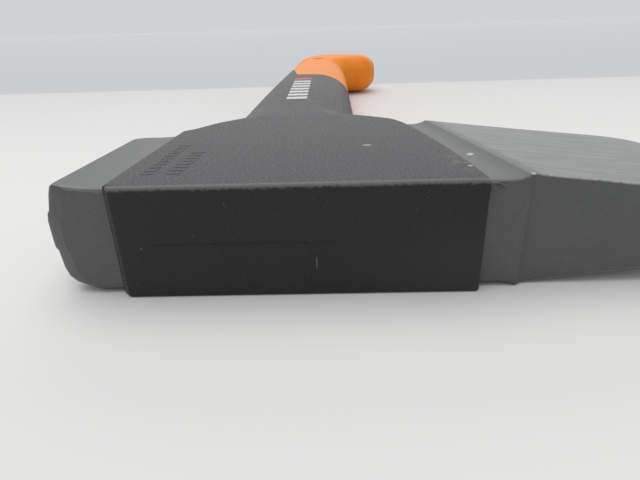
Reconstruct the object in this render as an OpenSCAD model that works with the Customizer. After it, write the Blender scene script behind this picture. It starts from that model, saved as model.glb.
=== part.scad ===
// Compact one-hand splitting axe, lying on its cheek.
// A forged steel head, a nylon handle moulded round the head's eye, and a hooked end knob.
// +X points at the cutting edge, +Y runs down the handle, +Z is up through the thickness.
// Origin: centre of the footprint, on the surface that the axe lies on.

/* [Head] */
// Thickness over the two flat cheeks
head_t = 30; // [27:0.5:33]
// Width of the plastic wrap across the end of the head
wrap_w = 90; // [84:1:94]
// From the middle of the wrap to the striking face
poll_reach = 64; // [61:0.5:66]
// From the middle of the wrap to the cutting edge
edge_reach = 132; // [124:1:140]
// Height of the poll, along the handle
poll_h = 51; // [48:1:53]
// Height of the blade, along the handle
blade_h = 62; // [58:1:62]
// Thickness of the steel web inside the wrap
web_t = 14; // [10:1:18]

/* [Handle] */
// From the end of the head to the end of the knob
overall_len = 355; // [345:1:370]
// Thickness of the shaft
shaft_t = 28; // [26:0.5:29]
// Wall of the hollow shaft
shaft_wall = 4; // [3:0.5:5]
// Where the knob starts, from the end of the head
seam_y = 204; // [198:1:210]

/* [Knob] */
// Thickness of the knob
knob_t = 27.4; // [25:0.2:28]
// Radius of the hanging hole
hang_r = 4; // [3:0.5:5]
// Length of the spigot inside the shaft
spigot_len = 45; // [30:1:60]
// Gap between the spigot and the shaft's wall
spigot_gap = 0.15; // [0.1:0.05:0.3]

/* [Hidden] */

mid_z = head_t / 2;
shift_x = (poll_reach - edge_reach) / 2;
shift_y = -overall_len / 2;

// Wrap: the plastic stands proud of the steel's end faces
end_step = 2.5;
wrap_left_front = [-wrap_w / 2, 0];
wrap_left_step = [-wrap_w / 2 - 2, end_step];
wrap_left_back = [-wrap_w / 2 + 2.6, 58.5];
wrap_right_front = [wrap_w / 2, 0];
wrap_right_back = [wrap_w / 2 - 12.8, 68];
wrap_right_bow = 1.6;
edge_chamfer = 1;

// Steel: cheeks next to the wrap lie a little below the plastic
cheek_drop = 1.2;
ridge_front = [wrap_w / 2 + 11, 0];
ridge_back = [wrap_w / 2 - 4.6, 68];
ridge_turn = atan2(ridge_front[0] - ridge_back[0], ridge_back[1] - ridge_front[1]);
cove_r = 9;
cove_turn = acos(1 - cheek_drop / cove_r);
cove_run = cove_r * sin(cove_turn);
cheek_slope = 0.13;
edge_t = 0.6;
edge_bow = 4;
blade_y = 4;
poll_turn = 5.5;
web_front = 9;
web_back = 48;
slot_w = 34;
slot_h = 18;

// Hook: rings fan round a pivot in its inner corner, then close over the hook's tip
hook_x = 30;
hook_in = 11;
tip_reach = 15;
hang_x = -1;
hang_from_end = 43;
hang_land = 0.3;
fan_angles = [0, 12, 24, 36, 48, 58, 68, 79, 90];
tip_angles = [20, 38, 54, 68, 80];

// Points along a shallow arc from p to q that bows towards +X at its middle
function bowed(p, q, bow, steps) = [
    for (k = [0 : steps])
        let (t = k / steps)
        p + (q - p) * t + [4 * bow * t * (1 - t), 0]
];
function smooth(t) = let (c = min(max(t, 0), 1)) c * c * (3 - 2 * c);
function mix(a, b, t) = a + (b - a) * t;
// Closes an X-Z outline, given as its upper half, by its mirror image below mid thickness
function mirrored(half) = concat(
    [for (p = half) [p[0], mid_z + p[1]]],
    [for (k = [len(half) - 1 : -1 : 0]) [half[k][0], mid_z - half[k][1]]]
);

// The wrap's poll side, next to the steel
function wrap_left(y) = mix(
    wrap_left_step[0], wrap_left_back[0],
    (y - wrap_left_step[1]) / (wrap_left_back[1] - wrap_left_step[1])
);

// Shaft sides: both step in behind the wrap in a short curve, and the poll side then drifts inwards
function poll_side(y) = -33.2 + 0.042 * (y - 105) + 0.00013 * pow(max(y - 150, 0), 2);
flare = poll_side(wrap_left_back[1]) - wrap_left_back[0];
flare_run = 5;
function side_left(y) = y < wrap_left_back[1] ? wrap_left(y)
    : poll_side(y) - flare * exp(-(y - wrap_left_back[1]) / flare_run);
function side_right(y) = mix(wrap_right_back[0], 19.4, smooth((y - wrap_right_back[1]) / 33));
function shaft_half(y) = mix(mid_z, shaft_t / 2, smooth((y - 71) / 44));
function edge_w(y) = mix(1, 19.5, smooth((y - 63) / 24));
function edge_h(y) = mix(1, shaft_t / 2, smooth((y - 67) / 33));

// A ring stands upright between two plan points; its corners are quarter ellipses
ring_steps = 7;
function ring(right, left, half_t, corner_w, corner_h) =
    let (
        centre = (right + left) / 2,
        half_w = norm(left - right) / 2,
        along = (right - left) / (2 * half_w),
        cw = min(corner_w, 0.96 * half_w),
        ch = min(corner_h, 0.96 * half_t)
    )
    [
        for (q = [0 : 3], k = [0 : ring_steps])
            let (
                a = 90 * (q + k / ring_steps),
                sx = (q == 0 || q == 3) ? 1 : -1,
                sz = q < 2 ? 1 : -1,
                u = sx * (half_w - cw) + cw * cos(a),
                w = sz * (half_t - ch) + ch * sin(a)
            )
            [centre[0] + along[0] * u, centre[1] + along[1] * u, mid_z + w]
    ];
ring_n = 4 * (ring_steps + 1);

function shaft_ring(y, inset) = ring(
    [side_right(y) - inset, y], [side_left(y) + inset, y],
    shaft_half(y) - inset, edge_w(y) - inset * 0.6, edge_h(y) - inset
);

// Outer reach of the knob from the hook's pivot, by fan angle
function hook_out(a) = mix(51.9, 62.5, smooth(a / 60)) - 14 * smooth((a - 54) / 44);
hook_pivot = [hook_x, overall_len - max([for (a = fan_angles) hook_out(a) * sin(a)])];
function fan_ring(a) =
    let (d = [-cos(a), sin(a)], edge = mix(19.5, 12, smooth(a / 50)))
    ring(hook_pivot + hook_in * d, hook_pivot + hook_out(a) * d, knob_t / 2, edge, knob_t / 2);
function tip_ring(a) =
    let (
        front = hook_pivot[1] + hook_in,
        back = hook_pivot[1] + hook_out(90),
        middle = (front + back) / 2,
        half = (back - front) / 2,
        x = hook_pivot[0] + tip_reach * sin(a)
    )
    ring(
        [x, middle - half * cos(a)], [x, middle + half * pow(cos(a), 0.8)],
        knob_t / 2 * pow(cos(a), 0.6), 12, knob_t / 2
    );

module loft(rings) {
    last = len(rings) - 1;
    polyhedron(
        points = [for (r = rings) each r],
        faces = concat(
            [[for (k = [ring_n - 1 : -1 : 0]) k]],
            [
                for (s = [0 : last - 1], k = [0 : ring_n - 1])
                    let (a = s * ring_n + k, b = s * ring_n + (k + 1) % ring_n)
                    [a, b, b + ring_n, a + ring_n]
            ],
            [[for (k = [0 : ring_n - 1]) last * ring_n + k]]
        ),
        convexity = 6
    );
}

module in_place() translate([shift_x, shift_y, 0]) children();

// Extrudes an X-Z outline along +Y
module along_y(from, length) translate([0, from + length, 0]) rotate([90, 0, 0])
    linear_extrude(length) children();

// ---- Axe head ----

module poll() {
    back = end_step + poll_h;
    // The back edge slants out to the wrap, and never past the wrap's own corner
    back_at_wrap = min(back + 4.5, wrap_left_back[1]);
    intersection() {
        linear_extrude(head_t) polygon([
            wrap_left_step,
            [-poll_reach + 3.5, end_step],
            [-poll_reach, end_step + 2.5],
            [-poll_reach + 4.2, back - 4],
            [-poll_reach + 8, back - 1.5],
            [wrap_left(back_at_wrap), back_at_wrap]
        ]);
        translate([-poll_reach, end_step + 2.5, 0]) rotate([0, 0, -poll_turn]) along_y(-10, poll_h + 30)
            polygon(mirrored([
                [30, mid_z - cheek_drop],
                [15, mid_z - cheek_drop],
                [6, mid_z - 0.3],
                [3.6, mid_z - 1.4],
                [1.1, 7.5],
                [0.6, 6.5],
                [0, 5]
            ]));
    }
}

// Thin web inside the wrap, with a long hole that the plastic fills and locks into
module eye_web() translate([0, 0, mid_z - web_t / 2]) linear_extrude(web_t) difference() {
    translate([-wrap_w / 2 - 3, web_front]) square([wrap_w - 3, web_back - web_front]);
    translate([-3, (web_front + web_back) / 2]) {
        square([slot_w - slot_h, slot_h], center = true);
        for (side = [-1, 1])
            translate([side * (slot_w - slot_h) / 2, 0]) circle(d = slot_h, $fn = 48);
    }
}

// Across the ridge: neck a little below the cheek, a cove up to the crest, then the sloping cheek
module cheek_section() polygon(mirrored(concat(
    [[-40, mid_z - cheek_drop]],
    [
        for (k = [0 : 6])
            let (a = cove_turn * k / 6)
            [-cove_run + cove_r * sin(a), mid_z - cheek_drop + cove_r * (1 - cos(a))]
    ],
    [[0.6, mid_z], [120, mid_z - 120 * cheek_slope]]
)));

// Across the handle: the convex bevel that closes the wedge down to the cutting edge
module bevel_section() polygon(mirrored(concat(
    [[-20, head_t], [edge_reach - 45, head_t]],
    [for (d = [45, 28, 18, 10, 4, 0]) [edge_reach - d, edge_t / 2 + d * (0.345 - 0.0023 * d)]]
)));

// One straight stretch of the ground edge, through a plan point
grind_slope = 0.6;
module grind(at, turn) translate([at[0], at[1], 0]) rotate([0, 0, turn])
    along_y(-160, 320) polygon(mirrored([[-160, edge_t / 2 + 160 * grind_slope], [0, edge_t / 2]]));

// Three ground stretches follow the bowed cutting edge
module ground_edge() {
    middle = blade_y + blade_h / 2;
    aside = 16;
    turn = 12.5;
    intersection() {
        grind([edge_reach, middle], 0);
        grind([edge_reach - 1.8, middle - aside], -turn);
        grind([edge_reach - 1.8, middle + aside], turn);
    }
}

module blade_plan() {
    far = blade_y + blade_h;
    corner = 7;
    intersection() {
        polygon(concat(
            bowed(wrap_right_front, wrap_right_back, wrap_right_bow, 8),
            [[edge_reach + 10, wrap_right_back[1]], [edge_reach + 10, 0]]
        ));
        polygon(concat(
            [[20, far], [20, end_step], [ridge_front[0] - 2, end_step], [ridge_front[0] + 1, blade_y]],
            [[edge_reach - edge_bow - corner, blade_y]],
            bowed(
                [edge_reach - edge_bow, blade_y + corner],
                [edge_reach - edge_bow, far - corner], edge_bow, 10
            ),
            [[edge_reach - edge_bow - corner, far]]
        ));
    }
}

// Neck, ridge and blade in one forging
module blade() intersection() {
    linear_extrude(head_t) blade_plan();
    translate([ridge_front[0], ridge_front[1], 0]) rotate([0, 0, ridge_turn])
        along_y(-30, 130) cheek_section();
    along_y(-10, 100) bevel_section();
    ground_edge();
}

module axe_head() color([0.33, 0.35, 0.34]) in_place() union() {
    poll();
    eye_web();
    blade();
}

// ---- Handle ----

// Flat-cheeked block moulded round the eye
module wrap() intersection() {
    linear_extrude(head_t) polygon(concat(
        [wrap_left_step, wrap_left_front],
        bowed(wrap_right_front, wrap_right_back, wrap_right_bow, 8),
        [wrap_left_back]
    ));
    translate([-wrap_w, 0, 0]) rotate([90, 0, 90]) linear_extrude(2 * wrap_w) polygon([
        [0, edge_chamfer], [edge_chamfer, 0], [80, 0],
        [80, head_t], [edge_chamfer, head_t], [0, head_t - edge_chamfer]
    ]);
}

// Plan of everything black: straight across the shaft, with a tongue down the poll side
tongue_tip_y = seam_y + 100;
module black_region() linear_extrude(head_t) polygon([
    [-wrap_w, 0], [wrap_w, 0], [wrap_w, seam_y - 17],
    [-11, seam_y + 8], [-12.5, seam_y + 10.5], [-22.5, tongue_tip_y], [-wrap_w, tongue_tip_y]
]);

shaft_stations = [57, 60, 63, 66, 69, 72, 75, 78, 82, 86, 90, 95, 101, 110, 125, 150, 178];
grip_stations = [200, 222, 245, 270, 288];
hollow_start = 112;
hollow_end = seam_y + 10;

function grip_rings() = [for (y = grip_stations) shaft_ring(y, 0)];
function knob_rings() = concat(
    grip_rings(),
    [for (a = fan_angles) fan_ring(a)],
    [for (a = tip_angles) tip_ring(a)]
);

module hollow() loft([for (y = [hollow_start, 132, 155, 180, hollow_end]) shaft_ring(y, shaft_wall)]);

module handle_shell() color([0.12, 0.12, 0.13]) in_place() difference() {
    intersection() {
        union() {
            wrap();
            loft(concat(
                [for (y = shaft_stations) shaft_ring(y, 0)],
                grip_rings(),
                [fan_ring(0), fan_ring(12)]
            ));
        }
        black_region();
    }
    eye_web();
    hollow();
}

// ---- Knob ----

module spigot() loft([
    for (y = [seam_y - spigot_len, 180, hollow_end - 0.5]) shaft_ring(y, shaft_wall + spigot_gap)
]);

module end_knob() color([0.93, 0.42, 0.10]) in_place() difference() {
    union() {
        difference() {
            loft(knob_rings());
            black_region();
        }
        spigot();
    }
    translate([hang_x, overall_len - hang_from_end, 0]) {
        cylinder(r = hang_r, h = head_t, $fn = 64);
        // Shallow lands that give the hole flat rims
        cylinder(r = hang_r + 1.5, h = mid_z - knob_t / 2 + hang_land, $fn = 64);
        translate([0, 0, mid_z + knob_t / 2 - hang_land])
            cylinder(r = hang_r + 1.5, h = mid_z, $fn = 64);
    }
}

axe_head();
handle_shell();
end_knob();
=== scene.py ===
# Compact one-hand splitting axe lying on its cheek, seen low from the end of its head.
# A forged head in grey coating, a black nylon handle moulded round its eye, and an orange hooked knob.
# Lengths below are in millimetres from the middle of the wrap's end face, at table level;
# place() turns them into scene metres in the CAD frame.
import math

import bmesh
import bpy
from mathutils import Matrix, Vector


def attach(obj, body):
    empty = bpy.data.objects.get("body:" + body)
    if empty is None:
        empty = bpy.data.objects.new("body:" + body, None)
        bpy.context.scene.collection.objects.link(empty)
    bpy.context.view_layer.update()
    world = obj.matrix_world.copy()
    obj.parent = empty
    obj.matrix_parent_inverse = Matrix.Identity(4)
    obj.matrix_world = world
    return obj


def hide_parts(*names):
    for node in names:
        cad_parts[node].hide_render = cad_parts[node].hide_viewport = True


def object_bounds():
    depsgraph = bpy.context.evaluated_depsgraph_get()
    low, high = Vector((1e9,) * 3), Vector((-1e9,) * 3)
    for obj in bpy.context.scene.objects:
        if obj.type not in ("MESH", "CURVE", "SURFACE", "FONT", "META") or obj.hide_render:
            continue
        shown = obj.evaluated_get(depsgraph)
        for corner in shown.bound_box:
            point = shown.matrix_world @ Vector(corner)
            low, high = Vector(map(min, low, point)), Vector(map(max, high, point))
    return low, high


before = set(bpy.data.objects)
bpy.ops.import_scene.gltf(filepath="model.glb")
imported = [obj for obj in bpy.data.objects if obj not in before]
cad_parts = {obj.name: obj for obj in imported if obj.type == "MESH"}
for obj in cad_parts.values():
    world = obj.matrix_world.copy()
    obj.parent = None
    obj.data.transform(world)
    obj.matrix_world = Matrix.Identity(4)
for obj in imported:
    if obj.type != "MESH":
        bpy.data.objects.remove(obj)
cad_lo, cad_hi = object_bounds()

MM = 0.001

# Edges over this many degrees stay crisp
SHARP = 35.0
STEEL_SHARP = 22.0
BLADE_SHARP = 28.0

# Points closer than this are merged, in a new mesh and after a boolean
WELD = 0.004
WELD_CUT = 0.002

# ---- Sizes shared with the CAD part ----

POLL_REACH = 64.0
ORIGIN_X = cad_lo.x + POLL_REACH * MM
ORIGIN_Y = cad_lo.y
HEAD_T = (cad_hi.z - cad_lo.z) / MM
MID_Z = HEAD_T / 2
OVERALL = (cad_hi.y - cad_lo.y) / MM
EDGE_REACH = (cad_hi.x - cad_lo.x) / MM - POLL_REACH

WRAP_W = 90.0
WRAP_LEFT_STEP = (-47.0, 2.5)
WRAP_LEFT_END = (-42.4, 58.5)
WRAP_RIGHT_END = (32.2, 68.0)
WRAP_RIGHT_BOW = 1.6
WRAP_RIGHT_STEP = 0.5
WRAP_EDGE = 0.9
END_STEP = 2.5
SHAFT_RIGHT = 19.4
SHAFT_HALF = 14.0
SHAFT_CORNER = 19.5
SEAM_Y = 204.0
SEAM_GAP = 0.12
TONGUE_TIP_Y = SEAM_Y + 100

CHEEK_DROP = 1.2
RIDGE_FRONT = (56.0, 0.0)
RIDGE_BACK = (40.4, 68.0)
COVE_R = 9.0
BLADE_Y = 4.0
BLADE_FAR = 66.0
EDGE_BOW = 4.0
EDGE_CORNER = 7.0
EDGE_T = 0.6

KNOB_HALF = 13.7
HOOK_X = 30.0
HOOK_IN = 11.0
HOOK_OUT_START = 51.9
HOOK_OUT_WIDE = 62.5
HOOK_TUCK = 14.0
HOOK_CORNER = 12.0
TIP_REACH = 15.0
HANG_X = -1.0
HANG_Y = OVERALL - 43.0
HANG_R = 4.0


def place(x, y, z):
    """Working millimetres to scene metres."""
    return Vector((ORIGIN_X + x * MM, ORIGIN_Y + y * MM, z * MM))


def clamp(t):
    """t held between 0 and 1."""
    return min(max(t, 0.0), 1.0)


def smooth(t):
    """An eased step from 0 to 1."""
    c = clamp(t)
    return c * c * (3 - 2 * c)


def mix(a, b, t):
    """The value a share t of the way from a to b."""
    return a + (b - a) * t


def table_at(rows, v):
    """Piecewise straight reading of (v, value) rows."""
    if v <= rows[0][0]:
        return rows[0][1]
    for (v0, a), (v1, b) in zip(rows, rows[1:]):
        if v <= v1:
            return mix(a, b, (v - v0) / (v1 - v0))
    return rows[-1][1]


def steps(start, stop, size):
    """Evenly spaced values from start to stop, both included, about size apart."""
    n = max(1, round(abs(stop - start) / size))
    return [mix(start, stop, k / n) for k in range(n + 1)]


# ---- Mesh helpers ----

def mesh_object(name, verts, faces, sharp=SHARP):
    """A smooth-shaded mesh object with edges over the sharp angle kept crisp."""
    mesh = bpy.data.meshes.new(name)
    mesh.from_pydata([tuple(v) for v in verts], [], faces)
    bm = bmesh.new()
    bm.from_mesh(mesh)
    bmesh.ops.remove_doubles(bm, verts=bm.verts, dist=WELD * MM)
    bmesh.ops.recalc_face_normals(bm, faces=bm.faces)
    bm.to_mesh(mesh)
    bm.free()
    obj = bpy.data.objects.new(name, mesh)
    bpy.context.scene.collection.objects.link(obj)
    shade(obj, sharp)
    return obj


def shade(obj, sharp):
    """Smooth shading, with edges over the sharp angle kept crisp."""
    for poly in obj.data.polygons:
        poly.use_smooth = True
    obj.data.set_sharp_from_angle(angle=math.radians(sharp))


def loft_faces(n_rings, n):
    """Quads between rings of n points, with a cap at each end."""
    faces = []
    for s in range(n_rings - 1):
        for k in range(n):
            a, b = s * n + k, s * n + (k + 1) % n
            faces.append((a, b, b + n, a + n))
    faces.append(tuple(range(n - 1, -1, -1)))
    faces.append(tuple((n_rings - 1) * n + k for k in range(n)))
    return faces


def loft(name, rings, sharp=SHARP):
    """A closed skin over a run of rings with equal point counts."""
    verts = [place(*p) for points in rings for p in points]
    return mesh_object(name, verts, loft_faces(len(rings), len(rings[0])), sharp)


def prism(name, outline, z0, z1):
    """A plan outline stood up between two heights."""
    rings = [[(x, y, z) for x, y in outline] for z in (z0, z1)]
    return loft(name, rings)


def boolean(obj, cutter, operation, sharp=SHARP):
    """Applies an exact boolean to obj and deletes the cutter."""
    mod = obj.modifiers.new("cut", "BOOLEAN")
    mod.operation = operation
    mod.solver = "EXACT"
    mod.object = cutter
    depsgraph = bpy.context.evaluated_depsgraph_get()
    mesh = bpy.data.meshes.new_from_object(obj.evaluated_get(depsgraph))
    obj.modifiers.clear()
    old = obj.data
    obj.data = mesh
    mesh.name = obj.name
    bpy.data.meshes.remove(old)
    bpy.data.objects.remove(cutter)
    bm = bmesh.new()
    bm.from_mesh(mesh)
    bmesh.ops.remove_doubles(bm, verts=bm.verts, dist=WELD_CUT * MM)
    bmesh.ops.dissolve_degenerate(bm, edges=bm.edges, dist=WELD_CUT * MM)
    bm.to_mesh(mesh)
    bm.free()
    shade(obj, sharp)


# ---- Handle and knob outlines ----

CORNER_STEPS = 8
TOP_STEPS = 22
SIDE_STEPS = 6
# A corner takes up at most this share of half a side
CORNER_SHARE = 0.96

# The shaft's poll side: a point on it, its lean, and where it starts to bend
POLL_SIDE_AT = (-33.2, 105)
POLL_SIDE_LEAN = 0.042
POLL_SIDE_BEND = 0.00013
POLL_SIDE_BEND_FROM = 150

# Stations and runs over which the handle narrows, thins and rounds from the wrap to the shaft
WAIST_RUN = 33
THIN_FROM, THIN_RUN = 71, 44
CORNER_W_FROM, CORNER_W_RUN = 63, 24
CORNER_H_FROM, CORNER_H_RUN = 67, 33


def poll_side(y):
    """Plan X of the shaft's poll side, behind the wrap."""
    lean = POLL_SIDE_LEAN * (y - POLL_SIDE_AT[1])
    return POLL_SIDE_AT[0] + lean + POLL_SIDE_BEND * max(y - POLL_SIDE_BEND_FROM, 0) ** 2


# How far the wrap's back corner stands out past the shaft's side, and the run where that dies away
FLARE = poll_side(WRAP_LEFT_END[1]) - WRAP_LEFT_END[0]
FLARE_RUN = 5.0


def side_left(y):
    """Plan X of the handle's poll side, wrap and shaft together."""
    if y < WRAP_LEFT_STEP[1]:
        return mix(-WRAP_W / 2, WRAP_LEFT_STEP[0], y / WRAP_LEFT_STEP[1])
    if y < WRAP_LEFT_END[1]:
        run = (y - WRAP_LEFT_STEP[1]) / (WRAP_LEFT_END[1] - WRAP_LEFT_STEP[1])
        return mix(WRAP_LEFT_STEP[0], WRAP_LEFT_END[0], run)
    return poll_side(y) - FLARE * math.exp(-(y - WRAP_LEFT_END[1]) / FLARE_RUN)


def side_right(y):
    """Plan X of the handle's blade side, wrap and shaft together."""
    if y >= WRAP_RIGHT_END[1]:
        return mix(WRAP_RIGHT_END[0], SHAFT_RIGHT, smooth((y - WRAP_RIGHT_END[1]) / WAIST_RUN))
    t = max(y, 0) / WRAP_RIGHT_END[1]
    step = WRAP_RIGHT_STEP * min(y / END_STEP, 1) * (1 - t)
    return mix(WRAP_W / 2, WRAP_RIGHT_END[0], t) + 4 * WRAP_RIGHT_BOW * t * (1 - t) + step


def shaft_half(y):
    """Half the handle's thickness."""
    return mix(MID_Z, SHAFT_HALF, smooth((y - THIN_FROM) / THIN_RUN))


def edge_w(y):
    """Width of the rounded corners of the handle's cross-section."""
    return mix(WRAP_EDGE, SHAFT_CORNER, smooth((y - CORNER_W_FROM) / CORNER_W_RUN))


def edge_h(y):
    """Height of the rounded corners of the handle's cross-section."""
    return mix(WRAP_EDGE, SHAFT_HALF, smooth((y - CORNER_H_FROM) / CORNER_H_RUN))


def ring(right, left, half_t, corner_w, corner_h):
    """An upright ring between two plan points with quarter-ellipse corners."""
    right, left = Vector(right), Vector(left)
    centre = (right + left) / 2
    half_w = (right - left).length / 2
    along = (right - left) / (2 * half_w)
    cw = min(corner_w, CORNER_SHARE * half_w)
    ch = min(corner_h, CORNER_SHARE * half_t)
    flat = []
    for q in range(4):
        sx = 1 if q in (0, 3) else -1
        sz = 1 if q < 2 else -1
        for k in range(CORNER_STEPS + 1):
            a = math.radians(90 * (q + k / CORNER_STEPS))
            flat.append((sx * (half_w - cw) + cw * math.cos(a), sz * (half_t - ch) + ch * math.sin(a)))
        nx = -1 if q in (0, 1) else 1
        nz = 1 if q in (0, 3) else -1
        if q in (0, 2):
            end = (nx * (half_w - cw), sz * half_t)
            count = TOP_STEPS
        else:
            end = (sx * half_w, nz * (half_t - ch))
            count = SIDE_STEPS
        start = flat[-1]
        for k in range(1, count):
            flat.append((mix(start[0], end[0], k / count), mix(start[1], end[1], k / count)))
    return [(centre.x + along.x * u, centre.y + along.y * u, MID_Z + w) for u, w in flat]


def shaft_ring(y):
    """Cross-section of the handle at one station."""
    return ring((side_right(y), y), (side_left(y), y), shaft_half(y), edge_w(y), edge_h(y))


def hook_out(a):
    """The hook's outer reach from its pivot, by the angle turned from the shaft."""
    tuck = HOOK_TUCK * smooth((a - 54) / 44)
    return mix(HOOK_OUT_START, HOOK_OUT_WIDE, smooth(a / 60)) - tuck


HOOK_Y = OVERALL - max(hook_out(a) * math.sin(math.radians(a)) for a in range(0, 91))


def fan_ring(a):
    """Cross-section of the hook where it has turned a degrees about its pivot."""
    d = Vector((-math.cos(math.radians(a)), math.sin(math.radians(a))))
    pivot = Vector((HOOK_X, HOOK_Y))
    corner = mix(SHAFT_CORNER, HOOK_CORNER, smooth(a / 50))
    return ring(pivot + HOOK_IN * d, pivot + hook_out(a) * d, KNOB_HALF, corner, KNOB_HALF)


def tip_ring(a):
    """Cross-section of the hook's rounded tip, from 0 at its root to 90 degrees at its end."""
    front = HOOK_Y + HOOK_IN
    back = HOOK_Y + hook_out(90)
    middle, half = (front + back) / 2, (back - front) / 2
    c = math.cos(math.radians(a))
    x = HOOK_X + TIP_REACH * math.sin(math.radians(a))
    near, far = (x, middle - half * c), (x, middle + half * c ** 0.8)
    return ring(near, far, KNOB_HALF * c ** 0.6, HOOK_CORNER, KNOB_HALF)


def black_outline(grow):
    """Plan of everything black: straight across the shaft, with a tongue down the poll side."""
    return [
        (-WRAP_W, -20),
        (WRAP_W, -20),
        (WRAP_W, SEAM_Y - 17 + grow),
        (-11 + grow, SEAM_Y + 8 + grow),
        (-12.5 + grow, SEAM_Y + 10.5 + grow),
        (-22.5 + grow, TONGUE_TIP_Y),
        (-WRAP_W, TONGUE_TIP_Y + grow),
    ]


# ---- Handle moulding ----

# Heights below and above the axe, between which the plan cutters stand
CUT_LOW = -5
CUT_HIGH = 40

# Turns where the shaft's end swings into the hook, shared by both mouldings
FAN_START = [0, 3, 6, 9.5, 13]

FRONT_SIDE_ROUND = 0.3
FRONT_TOP_ROUND = 0.8
FRONT_CORNER = 0.4
PARTING_DEPTH = 0.13
# Where the parting line fades in and out across the end face, and over what width
PARTING_IN, PARTING_IN_RUN = -38, 3
PARTING_OUT, PARTING_OUT_RUN = 6, 18


def front_ring(inset, y, squeeze=1.0, narrow=0.0):
    """A ring of the wrap's end face, drawn in from the side walls."""
    left = side_left(y) + FRONT_SIDE_ROUND * inset + narrow
    right = side_right(y) - FRONT_SIDE_ROUND * inset - narrow
    half = (MID_Z - FRONT_TOP_ROUND * inset) * squeeze
    corner = FRONT_CORNER + (1 - FRONT_CORNER) * (1 - inset)
    return ring((right, y), (left, y), half, corner, corner)


def parting(points):
    """Sinks a mid-thickness line where the two halves of the mould met."""
    out = []
    for x, y, z in points:
        fade_in = smooth((x - PARTING_IN) / PARTING_IN_RUN)
        fade_out = 1 - smooth((x - PARTING_OUT) / PARTING_OUT_RUN)
        out.append((x, y + PARTING_DEPTH * fade_in * fade_out, z))
    return out


def handle_rings():
    """The end face, its rounded rim, the wrap and shaft, and the start of the hook."""
    rings = [parting(front_ring(1.0, 0.0, 0.004, 3.0))]
    for squeeze in (0.025, 0.3, 0.65, 0.9):
        rings.append(front_ring(1.0, 0.0, squeeze, 3.0 * (1 - squeeze)))
    for k in range(7):
        a = math.radians(90 * k / 6)
        rings.append(front_ring(1 - math.sin(a), WRAP_EDGE * (1 - math.cos(a))))
    # Close together at the end face's step, at the wrap's back corner and along the waist
    ys = [1.7, 2.4, 2.6] + steps(4, 57, 3) + [58, 58.4, 58.6, 59, 59.5]
    ys += steps(60, 110, 1.0) + steps(112, 284, 4)
    rings.extend(shaft_ring(y) for y in ys)
    rings.extend(fan_ring(a) for a in FAN_START)
    return rings


# Each row: distance from the wrap's poll side, tick length across, last station
TICK_ROWS = [(6.2, 3.2, 38.0), (12.6, 4.0, 29.5)]
TICK_START = 10.0
TICK_PITCH = 2.9
TICK_W = 1.1
TICK_H = 0.06
TICK_ROOT = 0.6


def emboss_ticks():
    """Two rows of plain raised ticks on the wrap's cheek, in place of lettering."""
    verts, faces = [], []
    for aside, length, last in TICK_ROWS:
        for y in steps(TICK_START, last, TICK_PITCH):
            x = side_left(y) + aside
            corners = [(x, y), (x + length, y), (x + length, y + TICK_W), (x, y + TICK_W)]
            at = len(verts)
            verts += [place(a, b, HEAD_T - TICK_ROOT) for a, b in corners]
            verts += [place(a, b, HEAD_T + TICK_H) for a, b in corners]
            faces += [(at + 3, at + 2, at + 1, at), (at + 4, at + 5, at + 6, at + 7)]
            faces += [(at + i, at + (i + 1) % 4, at + 4 + (i + 1) % 4, at + 4 + i) for i in range(4)]
    return mesh_object("ticks", verts, faces)


def torn_flash():
    """A torn scrap of moulding flash at the wrap's upper corner, lapping over the neck."""
    near = [(43.6, 28.2), (46.2, 28.9), (49.0, 28.1), (47.6, 27.4), (45.4, 27.0)]
    rings = [[(x, y, z) for x, z in near] for y in (1.2, 2.45)]
    return loft("flash", rings)


def make_handle():
    handle = loft("handle_moulding", handle_rings())
    boolean(handle, prism("cut_black", black_outline(0.0), CUT_LOW, CUT_HIGH), "INTERSECT")
    boolean(handle, emboss_ticks(), "UNION")
    boolean(handle, torn_flash(), "UNION")
    return handle


# ---- Knob moulding ----

HOLE_RIM = 1.8
HOLE_POINTS = 56


def knob_rings():
    """The far end of the shaft, the hook swung round its pivot, and its rounded tip."""
    rings = [shaft_ring(y) for y in steps(196, 284, 4)]
    rings.extend(fan_ring(a) for a in FAN_START + steps(16, 90, 2.5))
    rings.extend(tip_ring(a) for a in range(6, 61, 6))
    rings.extend(tip_ring(a) for a in (65, 70, 74, 78, 81, 84, 86.5))
    return rings


def hole_cutter():
    """A drilled hole whose rims are rounded over."""
    outline = []
    for side in (-1, 1):
        arc = []
        for k in range(7):
            a = math.radians(90 * k / 6)
            up = KNOB_HALF - HOLE_RIM + HOLE_RIM * math.sin(a)
            arc.append((HANG_R + HOLE_RIM * (1 - math.cos(a)), MID_Z + side * up))
        arc.append((HANG_R + HOLE_RIM + 0.6, MID_Z + side * (KNOB_HALF + 2)))
        outline.extend(arc[::-1] if side < 0 else arc)
    rings = []
    turns = [math.tau * k / HOLE_POINTS for k in range(HOLE_POINTS)]
    for r, z in outline:
        rings.append([(HANG_X + r * math.cos(a), HANG_Y + r * math.sin(a), z) for a in turns])
    return loft("cut_hole", rings)


def make_knob():
    knob = loft("knob_moulding", knob_rings())
    cutter = prism("cut_orange", black_outline(SEAM_GAP), CUT_LOW, CUT_HIGH)
    boolean(knob, cutter, "DIFFERENCE")
    boolean(knob, hole_cutter(), "DIFFERENCE")
    return knob


# ---- Steel head: poll ----

# The steel's front end faces stand this far behind the plastic's step
STEEL_SETBACK = 0.2

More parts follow.
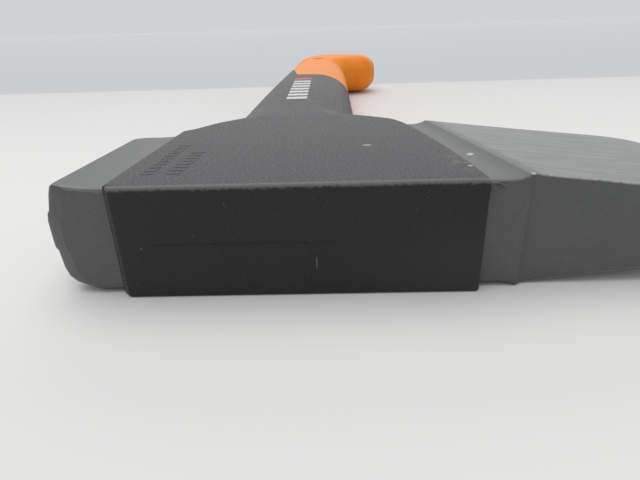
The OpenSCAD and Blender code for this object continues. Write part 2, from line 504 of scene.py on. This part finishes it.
# Striking face in X-Z: a slightly raised middle band between two sloping facets
POLL_FACE = [
    (1.0, 7.6),
    (2.0, 5.2),
    (2.7, 3.4),
    (4.4, 1.8),
    (6.7, 1.1),
    (11.7, 0.7),
    (12.7, 0.1),
    (15, 0),
    (20, 0),
    (22, 0.4),
    (22.9, 1.0),
    (27.2, 2.0),
    (29.2, 2.7),
    (29.7, 3.4),
]
POLL_TURN = math.radians(6.2)
POLL_BACK = 52.0
# Facet at the poll's front corner: how far the face is drawn in, by distance along the handle
POLL_FACET = [(2.7, 4.4), (3.2, 3.3), (3.8, 1.9), (4.4, 0.75), (5.0, 0.2), (6.0, 0.0)]
# The back edge slants away from the striking face
POLL_SLANT = 6.0
POLL_BACK_ROUND = 3.5
POLL_EDGE = 0.8
# Where the poll ends inside the wrap, and the height of its lower cheek there and further out
POLL_INNER = -38.0
POLL_LOW_INNER = 1.3
POLL_LOW = 1.15
# Height of the poll's upper cheek, by distance in from the striking face
POLL_TOP = [(3.4, 29.7), (5.5, 29.5), (8, 29.1), (12, 28.8), (30, 28.7)]


def poll_ring(y, inset_x, inset_z):
    """Closed X-Z outline of the poll at one station along the handle."""
    base = -POLL_REACH + math.tan(POLL_TURN) * max(y - 6, 0)
    slant = POLL_SLANT * smooth((y - POLL_BACK + 14) / 14)

    def point(x, z):
        return x, y + slant * clamp((x + 56) / 11), z

    face = []
    for z, d in POLL_FACE:
        drawn_in = MID_Z + (z - MID_Z) * (1 - inset_z / MID_Z)
        face.append(point(base + d + inset_x, drawn_in))
    top = []
    for d in (5.5, 8, 11, 14, 18):
        x = min(base + d + inset_x, POLL_INNER - 1)
        top.append(point(x, table_at(POLL_TOP, d) - inset_z))
    top.append(point(POLL_INNER, table_at(POLL_TOP, 30) - inset_z))
    bottom = [point(POLL_INNER, POLL_LOW_INNER + inset_z)]
    for d in (18, 14, 11, 9):
        x = min(base + d + inset_x, POLL_INNER - 1)
        bottom.append(point(x, POLL_LOW + inset_z))
    return face + top + bottom


def make_poll():
    """The poll, drawn in to its facet in front and rounded over at its back edge."""
    rings = []
    for y, inset in POLL_FACET:
        short_of_flat = 1 - clamp((y - END_STEP - STEEL_SETBACK) / 0.9)
        rings.append(poll_ring(y, inset, POLL_EDGE * short_of_flat ** 2))
    for y in steps(9, POLL_BACK - 4, 3):
        rings.append(poll_ring(y, 0, 0))
    for k in range(1, 7):
        a = math.radians(90 * k / 6)
        inward = 1 - math.cos(a)
        y = POLL_BACK - POLL_BACK_ROUND * (1 - math.sin(a))
        rings.append(poll_ring(y, POLL_BACK_ROUND * inward, POLL_EDGE * inward))
    return loft("poll_forging", rings, sharp=STEEL_SHARP)


# ---- Steel head: blade ----

RIDGE_DIR = (Vector(RIDGE_BACK) - Vector(RIDGE_FRONT)).normalized()
RIDGE_NORMAL = Vector((RIDGE_DIR.y, -RIDGE_DIR.x))
COVE_TURN = math.acos(1 - CHEEK_DROP / COVE_R)
COVE_RUN = COVE_R * math.sin(COVE_TURN)

# Beyond the ridge the cheek falls away, slightly hollow, from this far out
CHEEK_FROM = 0.3
CHEEK_TAPER = 0.13
CHEEK_HOLLOW = 0.0002
# The bevel is convex for this far behind the edge, and straight beyond
BEVEL_CURVE = 45.0
BEVEL_SLOPE = 0.345
BEVEL_BOW = 0.0023
BEVEL_STRAIGHT = 0.2
# Slope of the ground edge, and the widths over which the cheek's two corners are rounded
GROUND_SLOPE = 0.6
BEVEL_BLEND = 1.2
GROUND_BLEND = 0.4


def ridge_x(y):
    """Plan X of the ridge's crest."""
    return mix(RIDGE_FRONT[0], RIDGE_BACK[0], y / RIDGE_BACK[1])


def bowed_edge_x(y):
    """The cutting edge's curve in plan, without its rounded corners."""
    t = (y - BLADE_Y - EDGE_CORNER) / (BLADE_FAR - BLADE_Y - 2 * EDGE_CORNER)
    return EDGE_REACH - EDGE_BOW + 4 * EDGE_BOW * t * (1 - t)


def edge_x(y):
    """Plan outline of the cutting edge, with rounded corners at both ends."""
    near = clamp((BLADE_Y + EDGE_CORNER - y) / EDGE_CORNER)
    far = clamp((y - BLADE_FAR + EDGE_CORNER) / EDGE_CORNER)
    return bowed_edge_x(y) - (EDGE_CORNER - 1.5) * (1 - math.sqrt(1 - max(near, far) ** 2))


def blade_half(x, y):
    """Half thickness of the neck, ridge and ruled cheek, closed by the convex bevel."""
    s = (Vector((x, y)) - Vector(RIDGE_FRONT)).dot(RIDGE_NORMAL)
    if s < -COVE_RUN:
        cheek = MID_Z - CHEEK_DROP
    elif s < 0:
        run = s + COVE_RUN
        cheek = MID_Z - CHEEK_DROP + COVE_R - math.sqrt(COVE_R ** 2 - run ** 2)
    else:
        cheek = MID_Z - CHEEK_TAPER * max(s - CHEEK_FROM, 0) + CHEEK_HOLLOW * s * s
    d = max(EDGE_REACH - x, 0)
    curved = min(d, BEVEL_CURVE)
    convex = curved * (BEVEL_SLOPE - BEVEL_BOW * curved)
    bevel = EDGE_T / 2 + convex + BEVEL_STRAIGHT * (d - curved)
    ground = EDGE_T / 2 + GROUND_SLOPE * max(bowed_edge_x(y) - x, 0)
    return soft_min(soft_min(cheek, bevel, BEVEL_BLEND), ground, GROUND_BLEND)


def soft_min(a, b, width):
    """The lower of two heights, with the corner between them rounded over width."""
    return min(a, b) - 0.25 * width * max(0, 1 - abs(a - b) / width) ** 2


CREASE_X = 55.0
CREASE_RUN = 2.0
CREASE_DEPTH = 1.2


def near_y(x):
    """Front end face: the blade sits a little behind the neck, past a soft crease."""
    return END_STEP + STEEL_SETBACK + CREASE_DEPTH * smooth((x - CREASE_X) / CREASE_RUN)


BLADE_ROUND = 0.8
NECK_IN = 5.0


def blade_columns(y):
    """Stations across one row, from inside the wrap to the cutting edge."""
    crest = ridge_x(y)
    edge = edge_x(y)
    inner = side_right(y) - NECK_IN
    start = crest - COVE_RUN - 0.4
    xs = [mix(inner, start, t) for t in (0, 0.5, 0.75, 1)]
    xs += [start + (crest - start) * t for t in (0.15, 0.3, 0.45, 0.6, 0.75, 0.86, 0.94, 1)]
    xs += [crest + d for d in (0.3, 0.7, 1.2, 2, 3.5)]
    bevel_from = edge - 38
    xs += [mix(crest + 3.5, bevel_from, t) for t in (0.15, 0.3, 0.5, 0.75, 1)]
    xs += [edge - d for d in (34, 31, 28, 25, 22, 19, 16, 13, 10.5, 8.5)]
    xs += [edge - d for d in (7, 5.5, 4.3, 3.2, 2.4, 1.7, 1.1, 0.6, 0.25, 0)]
    return xs


def blade_rows():
    """Fractions from the near end face to the far one, tight over the rounded rims."""
    rim = [1 - math.cos(math.radians(90 * k / 5)) for k in range(6)]
    return [("near", r) for r in rim] + [("mid", t) for t in steps(0.02, 0.98, 0.04)] + [
        ("far", r) for r in reversed(rim)
    ]


def blade_surface():
    """Rows of (x, y, half thickness) over the blade's plan."""
    surface = []
    for kind, r in blade_rows():
        if kind == "near":
            y_row, sink = BLADE_Y + BLADE_ROUND * r, 1 - r
        elif kind == "far":
            y_row, sink = BLADE_FAR - BLADE_ROUND * r, 1 - r
        else:
            y_row, sink = mix(BLADE_Y + BLADE_ROUND, BLADE_FAR - BLADE_ROUND, r), 0
        drop = BLADE_ROUND * (1 - math.sqrt(max(0, 1 - sink ** 2)))
        row = []
        for x in blade_columns(y_row):
            weight = clamp((BLADE_FAR - y_row) / (BLADE_FAR - BLADE_Y))
            y = y_row + (near_y(x) - BLADE_Y) * weight ** 3
            half = blade_half(x, y_row)
            row.append((x, y, max(half - min(drop, half * 0.7), 0.02)))
        surface.append(row)
    return surface


END_ROWS = 6


def make_blade():
    """The neck, ridge and blade: two cheeks with walls between them."""
    surface = blade_surface()
    rows, cols = len(surface), len(surface[0])
    verts = [place(x, y, MID_Z + h) for row in surface for x, y, h in row]
    under = len(verts)
    verts += [place(x, y, MID_Z - h) for row in surface for x, y, h in row]
    faces = []
    for r in range(rows - 1):
        for c in range(cols - 1):
            a = r * cols + c
            quad = (a, a + 1, a + cols + 1, a + cols)
            faces.append(quad)
            faces.append(tuple(under + i for i in reversed(quad)))

    def wall(index):
        """Closes one side of the blade with END_ROWS strips between its two cheeks."""
        lines = [list(index)]
        for k in range(1, END_ROWS):
            line = []
            for i in index:
                top, bottom = verts[i], verts[under + i]
                line.append(len(verts))
                verts.append(top.lerp(bottom, k / END_ROWS))
            lines.append(line)
        lines.append([under + i for i in index])
        for upper, lower in zip(lines, lines[1:]):
            for k in range(len(index) - 1):
                faces.append((upper[k], upper[k + 1], lower[k + 1], lower[k]))

    wall(range(cols))
    wall(range((rows - 1) * cols, rows * cols))
    wall([r * cols for r in range(rows)])
    wall([r * cols + cols - 1 for r in range(rows)])
    return mesh_object("steel_head", verts, faces, sharp=BLADE_SHARP)


WEB_HALF = 7.0
WEB_NEAR = 9.0
WEB_FAR = 48.0
# The long hole in the web: middle, half the distance between its round ends, their radius
SLOT_AT = (-3.0, 28.5)
SLOT_HALF = 8.0
SLOT_R = 9.0


def make_web():
    """The thin steel web inside the wrap, with the long hole that locks the plastic in."""
    outline = [
        (-WRAP_W / 2 + 1, WEB_NEAR),
        (WRAP_W / 2 - 4.5, WEB_NEAR),
        (WRAP_W / 2 - 8, WEB_FAR),
        (-WRAP_W / 2 + 3, WEB_FAR),
    ]
    web = prism("web", outline, MID_Z - WEB_HALF, MID_Z + WEB_HALF)
    slot = []
    for side in (1, -1):
        for k in range(13):
            a = math.radians(-90 + 180 * k / 12)
            x = SLOT_AT[0] + side * (SLOT_HALF + SLOT_R * math.cos(a))
            slot.append((x, SLOT_AT[1] + side * SLOT_R * math.sin(a)))
    boolean(web, prism("slot", slot, CUT_LOW, CUT_HIGH), "DIFFERENCE")
    return web


def make_head():
    head = make_blade()
    boolean(head, make_web(), "UNION", STEEL_SHARP)
    boolean(head, make_poll(), "UNION", STEEL_SHARP)
    return head


# ---- Node helpers ----

class Shader:
    """Short spelling for building a material's node tree."""

    def __init__(self, name):
        self.material = bpy.data.materials.new(name)
        self.material.use_nodes = True
        self.tree = self.material.node_tree
        self.bsdf = next(n for n in self.tree.nodes if n.type == "BSDF_PRINCIPLED")
        coord = self.tree.nodes.new("ShaderNodeTexCoord")
        self.position = coord.outputs["Object"]

    def put(self, socket, value):
        if isinstance(value, bpy.types.NodeSocket):
            self.tree.links.new(value, socket)
        else:
            socket.default_value = value

    def math(self, operation, a, b=0.0, c=0.0, bound=False):
        node = self.tree.nodes.new("ShaderNodeMath")
        node.operation = operation
        node.use_clamp = bound
        for socket, value in zip(node.inputs, (a, b, c)):
            self.put(socket, value)
        return node.outputs[0]

    def noise(self, scale, detail=2.0, roughness=0.5, stretch=(1, 1, 1), turn=0.0, seed=0.0):
        """Noise whose scale is in cells per millimetre."""
        mapping = self.tree.nodes.new("ShaderNodeMapping")
        mapping.inputs["Scale"].default_value = [s / MM for s in stretch]
        mapping.inputs["Rotation"].default_value = (0, 0, turn)
        mapping.inputs["Location"].default_value = (seed, seed * 1.7, seed * 0.3)
        self.tree.links.new(self.position, mapping.inputs["Vector"])
        node = self.tree.nodes.new("ShaderNodeTexNoise")
        node.inputs["Scale"].default_value = scale
        node.inputs["Detail"].default_value = detail
        node.inputs["Roughness"].default_value = roughness
        self.tree.links.new(mapping.outputs["Vector"], node.inputs["Vector"])
        return node.outputs["Fac"]

    def ramp(self, value, low, high):
        """0 below low and 1 above high, eased between."""
        node = self.tree.nodes.new("ShaderNodeMapRange")
        node.interpolation_type = "SMOOTHSTEP"
        node.inputs["From Min"].default_value = low
        node.inputs["From Max"].default_value = high
        self.put(node.inputs["Value"], value)
        return node.outputs["Result"]

    def axes(self):
        """Position in working millimetres, as three sockets."""
        split = self.tree.nodes.new("ShaderNodeSeparateXYZ")
        self.tree.links.new(self.position, split.inputs[0])
        x = self.math("MULTIPLY_ADD", split.outputs[0], 1 / MM, -ORIGIN_X / MM)
        y = self.math("MULTIPLY_ADD", split.outputs[1], 1 / MM, -ORIGIN_Y / MM)
        z = self.math("MULTIPLY", split.outputs[2], 1 / MM)
        return x, y, z

    def band(self, value, low, high, soft):
        """1 between low and high, with soft shoulders."""
        rise = self.ramp(value, low - soft, low + soft)
        fall = self.ramp(value, high - soft, high + soft)
        return self.math("SUBTRACT", rise, fall, bound=True)

    def spot(self, x, y, at, size, ragged):
        """1 inside a small ellipse at a plan point, with its rim broken up by a noise."""
        dx = self.math("MULTIPLY_ADD", x, 1 / size[0], -at[0] / size[0])
        dy = self.math("MULTIPLY_ADD", y, 1 / size[1], -at[1] / size[1])
        far = self.math("ADD", self.math("MULTIPLY", dx, dx), self.math("MULTIPLY", dy, dy))
        far = self.math("ADD", far, self.math("MULTIPLY", ragged, 1.6))
        return self.math("SUBTRACT", 1.0, self.ramp(far, 1.2, 1.7))

    def upright(self):
        """How far the surface faces up or down, from 0 to 1."""
        coord = self.tree.nodes.new("ShaderNodeTexCoord")
        split = self.tree.nodes.new("ShaderNodeSeparateXYZ")
        self.tree.links.new(coord.outputs["Normal"], split.inputs[0])
        return self.math("ABSOLUTE", split.outputs[2])

    def times(self, *values):
        out = values[0]
        for value in values[1:]:
            out = self.math("MULTIPLY", out, value)
        return out

    def colour(self, factor, a, b):
        node = self.tree.nodes.new("ShaderNodeMix")
        node.data_type = "RGBA"
        node.clamp_factor = True
        self.put(node.inputs[0], factor)
        self.put(node.inputs[6], a if isinstance(a, bpy.types.NodeSocket) else (*a, 1))
        self.put(node.inputs[7], b if isinstance(b, bpy.types.NodeSocket) else (*b, 1))
        return node.outputs[2]

    def blend(self, factor, a, b):
        node = self.tree.nodes.new("ShaderNodeMix")
        node.clamp_factor = True
        self.put(node.inputs[0], factor)
        self.put(node.inputs[2], a)
        self.put(node.inputs[3], b)
        return node.outputs[0]

    def bump(self, height, strength, distance):
        node = self.tree.nodes.new("ShaderNodeBump")
        node.inputs["Strength"].default_value = strength
        node.inputs["Distance"].default_value = distance * MM
        self.put(node.inputs["Height"], height)
        self.tree.links.new(node.outputs["Normal"], self.bsdf.inputs["Normal"])

    def surface(self, **inputs):
        for name, value in inputs.items():
            self.put(self.bsdf.inputs[name.replace("_", " ")], value)


# ---- Materials ----

def nylon_material():
    s = Shader("black_nylon")
    x, y, z = s.axes()
    cloud = s.noise(0.045, 4, 0.6)
    grain = s.noise(1.5, 3, 0.7)
    fine = s.noise(3.4, 2, 0.6, seed=1.0)
    specks = s.ramp(s.noise(0.9, 2, 0.55, seed=3.0), 0.72, 0.79)
    up = s.ramp(s.upright(), 0.6, 0.9)
    base = s.colour(cloud, (0.009, 0.009, 0.009), (0.015, 0.015, 0.016))
    base = s.colour(s.math("MULTIPLY", s.ramp(grain, 0.45, 0.70), 0.5), base, (0.040, 0.040, 0.042))
    # Painted sheen: faces that look up are painted lighter and bluer, broken up by a noise
    top_sheen = s.times(up, s.blend(s.ramp(fine, 0.40, 0.60), 0.05, 1.0))
    base = s.colour(top_sheen, base, (0.088, 0.090, 0.103))
    base = s.colour(s.math("MULTIPLY", specks, 0.45), base, (0.26, 0.26, 0.25))
    # Painted highlight along the end face's upper edge, its lower boundary broken up by a noise
    ragged = s.noise(1.1, 3, 0.7, stretch=(0.6, 1, 1), seed=5.0)
    low_edge = s.math("MULTIPLY_ADD", ragged, 1.6, z)
    rim = s.times(s.band(y, -0.5, 1.3, 0.4), s.ramp(low_edge, 29.6, 30.4))
    base = s.colour(s.math("MULTIPLY", rim, 0.75), base, (0.17, 0.17, 0.17))
    # Worn, gritty lines where the end face steps back to the steel, with painted shade in the joint
    # beside them
    step = s.band(y, 0.5, 1.7, 0.35)
    sides = s.ramp(s.math("ABSOLUTE", x), 44.2, 44.8)
    worn = s.times(step, sides, s.ramp(ragged, 0.36, 0.60))
    base = s.colour(s.math("MULTIPLY", worn, 0.75), base, (0.145, 0.135, 0.12))
    # Painted shade: a near-black strip in the joint between the plastic and the steel
    joint_shade = s.times(s.band(y, 1.8, 2.9, 0.3), sides)
    base = s.colour(s.math("MULTIPLY", joint_shade, 0.9), base, (0.003, 0.003, 0.003))
    # Pale dusty streaks on the cheek by the neck, and a lighter haze low on that side
    streaks = s.ramp(s.noise(0.5, 3, 0.6, stretch=(0.35, 1.4, 1), seed=11.0), 0.5, 0.66)
    by_neck = s.times(s.spot(x, y, (41.0, 16.0), (4.5, 9.0), streaks), s.ramp(z, 29.2, 29.8))
    base = s.colour(s.times(by_neck, streaks, 0.6), base, (0.24, 0.235, 0.21))
    haze = s.times(s.ramp(x, 5, 45), s.math("SUBTRACT", 1.0, s.ramp(z, 6, 24)), s.band(y, -1, 0.6, 0.3))
    base = s.colour(s.math("MULTIPLY", haze, 0.6), base, (0.034, 0.034, 0.034))
    # One scuff on the cheek
    scuff = s.spot(x, y, (18.6, 33.7), (1.6, 0.9), s.noise(0.8, 2, 0.6, seed=8.0))
    scuff = s.times(scuff, s.ramp(z, 29, 29.6))
    base = s.colour(s.math("MULTIPLY", scuff, 0.8), base, (0.55, 0.55, 0.54))
    # A small bright nick by the neck
    nick = s.times(s.spot(x, y, (42.8, 11.1), (0.7, 0.8), ragged), s.ramp(z, 29, 29.6))
    base = s.colour(s.math("MULTIPLY", nick, 0.8), base, (0.55, 0.56, 0.56))
    # Short upright scratch on the end face
    scratch = s.times(s.band(x, 3.8, 4.2, 0.12), s.band(z, 7.6, 10.8, 0.6), s.band(y, -1, 0.8, 0.3))
    base = s.colour(s.math("MULTIPLY", scratch, 0.5), base, (0.16, 0.16, 0.16))
    rough = s.blend(s.ramp(grain, 0.35, 0.65), 0.36, 0.60)
    s.surface(Base_Color=base, Roughness=rough, IOR=1.42)
    s.bump(s.math("ADD", grain, fine), 0.6, 0.24)
    return s.material


# Plan points and half sizes of the rubbed marks on the neck and ridge
NECK_MARKS = [
    ((46.4, 25.5), (1.2, 1.2)),
    ((55.9, 4.0), (0.9, 0.9)),
]


def steel_material():
    s = Shader("coated_steel")
    x, y, z = s.axes()
    up = s.ramp(s.upright(), 0.6, 0.9)
    cloud = s.noise(0.05, 4, 0.6)
    grain = s.noise(1.8, 3, 0.7)
    chips = s.noise(0.8, 3, 0.65, seed=9.0)
    base = s.colour(cloud, (0.082, 0.087, 0.083), (0.108, 0.114, 0.109))
    base = s.colour(s.math("MULTIPLY", s.ramp(grain, 0.4, 0.75), 0.35), base, (0.16, 0.166, 0.162))
    # Painted light: faces that look up are painted lighter and slightly bluer
    base = s.colour(s.math("MULTIPLY", up, 0.55), base, (0.185, 0.19, 0.195))
    # The ground cheek beyond the ridge is paler, with fine streaks across it
    beyond = s.ramp(s.math("MULTIPLY_ADD", y, 0.23, x), 57.0, 61.0)
    ground = s.times(up, beyond)
    base = s.colour(s.math("MULTIPLY", ground, 0.75), base, (0.225, 0.23, 0.238))
    streak = s.noise(0.9, 3, 0.65, stretch=(0.05, 1.0, 0.3), turn=math.radians(8))
    base = s.colour(s.times(ground, s.ramp(streak, 0.35, 0.7), 0.6), base, (0.34, 0.345, 0.35))
    # Worn line along the blade's front upper edge
    worn = s.times(beyond, s.ramp(s.upright(), 0.35, 0.7), s.band(y, 2.0, 4.9, 0.35))
    base = s.colour(s.times(worn, s.ramp(chips, 0.3, 0.55), 0.6), base, (0.46, 0.46, 0.45))
    # Pale marks where the coating is rubbed, and a rust speck low on the neck
    for at, size in NECK_MARKS:
        mark = s.times(s.spot(x, y, at, size, chips), up)
        base = s.colour(s.math("MULTIPLY", mark, 0.8), base, (0.60, 0.60, 0.58))
    rust = s.times(s.spot(x, z, (47.3, 2.0), (0.9, 0.6), chips), s.band(y, 1, 3.4, 0.3))
    base = s.colour(s.math("MULTIPLY", rust, 0.8), base, (0.22, 0.09, 0.03))
    rough = s.blend(grain, 0.38, 0.56)
    s.surface(Base_Color=base, Roughness=rough, Metallic=0.15, IOR=1.5)
    s.bump(grain, 0.35, 0.12)
    return s.material


def orange_material():
    s = Shader("orange_plastic")
    cloud = s.noise(0.06, 3, 0.5)
    grain = s.noise(2.5, 2, 0.5)
    base = s.colour(cloud, (0.95, 0.27, 0.022), (0.98, 0.305, 0.032))
    rough = s.blend(grain, 0.42, 0.52)
    s.surface(Base_Color=base, Roughness=rough, IOR=1.3)
    s.bump(grain, 0.12, 0.05)
    return s.material


def print_material(name, colour):
    s = Shader(name)
    worn = s.ramp(s.noise(0.8, 3, 0.6), 0.3, 0.5)
    dark = tuple(c * 0.6 for c in colour)
    s.surface(Base_Color=s.colour(worn, dark, colour), Roughness=s.blend(worn, 0.6, 0.45))
    return s.material


# ---- Printed bars on the grip ----

def top_z(x, y):
    """Height of the shaft's upper skin at a plan point."""
    left, right = side_left(y), side_right(y)
    half_w, half_t = (right - left) / 2, shaft_half(y)
    cw = min(edge_w(y), CORNER_SHARE * half_w)
    ch = min(edge_h(y), CORNER_SHARE * half_t)
    u = abs(x - (left + right) / 2)
    over = max(u - (half_w - cw), 0) / cw
    return MID_Z + half_t - ch + ch * math.sqrt(max(0, 1 - over * over))


PRINT_THICK = 0.05
BAR_LEFT = -12.0
BAR_RIGHT = -2.6
WHITE_BARS = 7
WHITE_BAR_Y = 123.0
WHITE_BAR_LENGTH = 5.4
WHITE_BAR_PITCH = 9.0
RED_BAR = (187.2, 194.6)


def printed_bar(number, y0, y1, material):
    """A thin ink bar that follows the shaft's skin."""
    xs, ys = steps(BAR_LEFT, BAR_RIGHT, 0.8), steps(y0, y1, 1.0)
    cols = len(xs)
    verts = [place(x, y, top_z(x, y) + PRINT_THICK) for y in ys for x in xs]
    under = len(verts)
    verts += [place(x, y, top_z(x, y) - PRINT_THICK) for y in ys for x in xs]
    faces = []
    for r in range(len(ys) - 1):
        for c in range(cols - 1):
            a = r * cols + c
            quad = (a, a + 1, a + cols + 1, a + cols)
            faces += [quad, tuple(under + i for i in reversed(quad))]
    border = list(range(cols))
    border += [r * cols + cols - 1 for r in range(1, len(ys))]
    border += [(len(ys) - 1) * cols + c for c in range(cols - 2, -1, -1)]
    border += [r * cols for r in range(len(ys) - 2, 0, -1)]
    for k, a in enumerate(border):
        b = border[(k + 1) % len(border)]
        faces.append((a, b, under + b, under + a))
    bar = mesh_object(f"print_bar_{number}", verts, faces)
    bar.data.materials.append(material)
    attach(bar, "root")
    return bar


def make_print():
    white = print_material("print_white", (0.72, 0.73, 0.72))
    red = print_material("print_red", (0.55, 0.09, 0.03))
    for k in range(WHITE_BARS):
        y = WHITE_BAR_Y + k * WHITE_BAR_PITCH
        printed_bar(k + 1, y, y + WHITE_BAR_LENGTH, white)
    printed_bar(WHITE_BARS + 1, *RED_BAR, red)


# ---- Stage ----

# Metres: the floor stops behind the axe where its tone meets the wall's
FLOOR_HALF = 2.9
FLOOR_FAR = 1.5


def make_floor():
    s = Shader("floor_paper")
    y = s.axes()[1]
    beyond = s.ramp(y, 362, 372)
    soft = s.noise(0.004, 2, 0.5)
    near = s.colour(soft, (0.82, 0.82, 0.815), (0.85, 0.85, 0.845))
    # Painted shade: the floor darkens towards the back
    near = s.colour(s.ramp(y, 40, 420), near, (0.70, 0.70, 0.70))
    s.surface(Base_Color=s.colour(beyond, near, (0.56, 0.57, 0.592)), Roughness=0.6)
    s.bsdf.inputs["Specular IOR Level"].default_value = 0.3
    verts = [
        (-FLOOR_HALF, -FLOOR_HALF, 0),
        (FLOOR_HALF, -FLOOR_HALF, 0),
        (FLOOR_HALF, FLOOR_FAR, 0),
        (-FLOOR_HALF, FLOOR_FAR, 0),
    ]
    floor = mesh_object("floor", verts, [(0, 1, 2, 3)])
    if floor.data.polygons[0].normal.z < 0:
        floor.data.flip_normals()
    floor.data.materials.append(s.material)


def make_light():
    world = bpy.data.worlds.new("studio")
    bpy.context.scene.world = world
    world.use_nodes = True
    tree = world.node_tree
    back = tree.nodes["Background"]
    back.inputs["Color"].default_value = (0.96, 0.98, 1.0, 1)
    back.inputs["Strength"].default_value = 0.33
    # Behind the table the camera sees an even pale wall
    wall = tree.nodes.new("ShaderNodeBackground")
    wall.inputs["Color"].default_value = (0.63, 0.64, 0.665, 1)
    path = tree.nodes.new("ShaderNodeLightPath")
    pick = tree.nodes.new("ShaderNodeMixShader")
    tree.links.new(path.outputs["Is Camera Ray"], pick.inputs[0])
    tree.links.new(back.outputs[0], pick.inputs[1])
    tree.links.new(wall.outputs[0], pick.inputs[2])
    tree.links.new(pick.outputs[0], tree.nodes["World Output"].inputs["Surface"])
    add_lamp("overhead", "SUN", 1.66, (0.1, -0.1, -1.0), angle=65)
    add_lamp("front_fill", "AREA", 3.2, (0, 1.0, -0.75), at=(0, -1.3, 1.0), size=(2.4, 1.2))
    add_lamp("back_panel", "AREA", 46.0, (0, -1.0, -0.12), at=(0, 3.2, 1.4), size=(7.0, 2.4))


def add_lamp(name, kind, power, toward, angle=0.0, at=(0, 0, 1), size=(1, 1)):
    """A soft lamp that shines toward a direction and isn't seen itself."""
    lamp = bpy.data.lights.new(name, kind)
    lamp.energy = power
    lamp.color = (1.0, 0.99, 0.975)
    if kind == "SUN":
        lamp.angle = math.radians(angle)
    else:
        lamp.shape = "RECTANGLE"
        lamp.size, lamp.size_y = size
    obj = bpy.data.objects.new(name, lamp)
    obj.location = at
    obj.rotation_euler = Vector(toward).to_track_quat("-Z", "Y").to_euler()
    obj.visible_camera = False
    bpy.context.scene.collection.objects.link(obj)


# ---- Camera ----

CAMERA_AT = (8.342, -110.296, 67.467)
CAMERA_YAW = math.radians(-1.745)
CAMERA_DOWN = math.radians(25.2)
CAMERA_ROLL = math.radians(-1.902)
CAMERA_LENS = 28.125


def make_camera():
    cy, sy = math.cos(CAMERA_YAW), math.sin(CAMERA_YAW)
    cp, sp = math.cos(CAMERA_DOWN), math.sin(CAMERA_DOWN)
    forward = Vector((sy * cp, cy * cp, -sp))
    right = Vector((cy, -sy, 0))
    up = right.cross(forward)
    cr, sr = math.cos(CAMERA_ROLL), math.sin(CAMERA_ROLL)
    right, up = cr * right + sr * up, cr * up - sr * right
    data = bpy.data.cameras.new("camera")
    data.lens = CAMERA_LENS
    data.sensor_width = 36
    data.clip_start = 0.01
    data.clip_end = 50
    camera = bpy.data.objects.new("camera", data)
    turn = Matrix((right, up, -forward)).transposed().to_4x4()
    camera.matrix_world = Matrix.Translation(place(*CAMERA_AT)) @ turn
    bpy.context.scene.collection.objects.link(camera)
    bpy.context.scene.camera = camera


def finish_piece(piece, node, material):
    piece.data.materials.clear()
    piece.data.materials.append(material)
    for poly in piece.data.polygons:
        poly.material_index = 0
    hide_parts(node)
    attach(piece, "root")


make_camera()
make_floor()
make_light()
finish_piece(make_head(), "axe_head", steel_material())
finish_piece(make_handle(), "handle_shell", nylon_material())
finish_piece(make_knob(), "end_knob", orange_material())
make_print()
bpy.context.scene.view_settings.view_transform = "Standard"
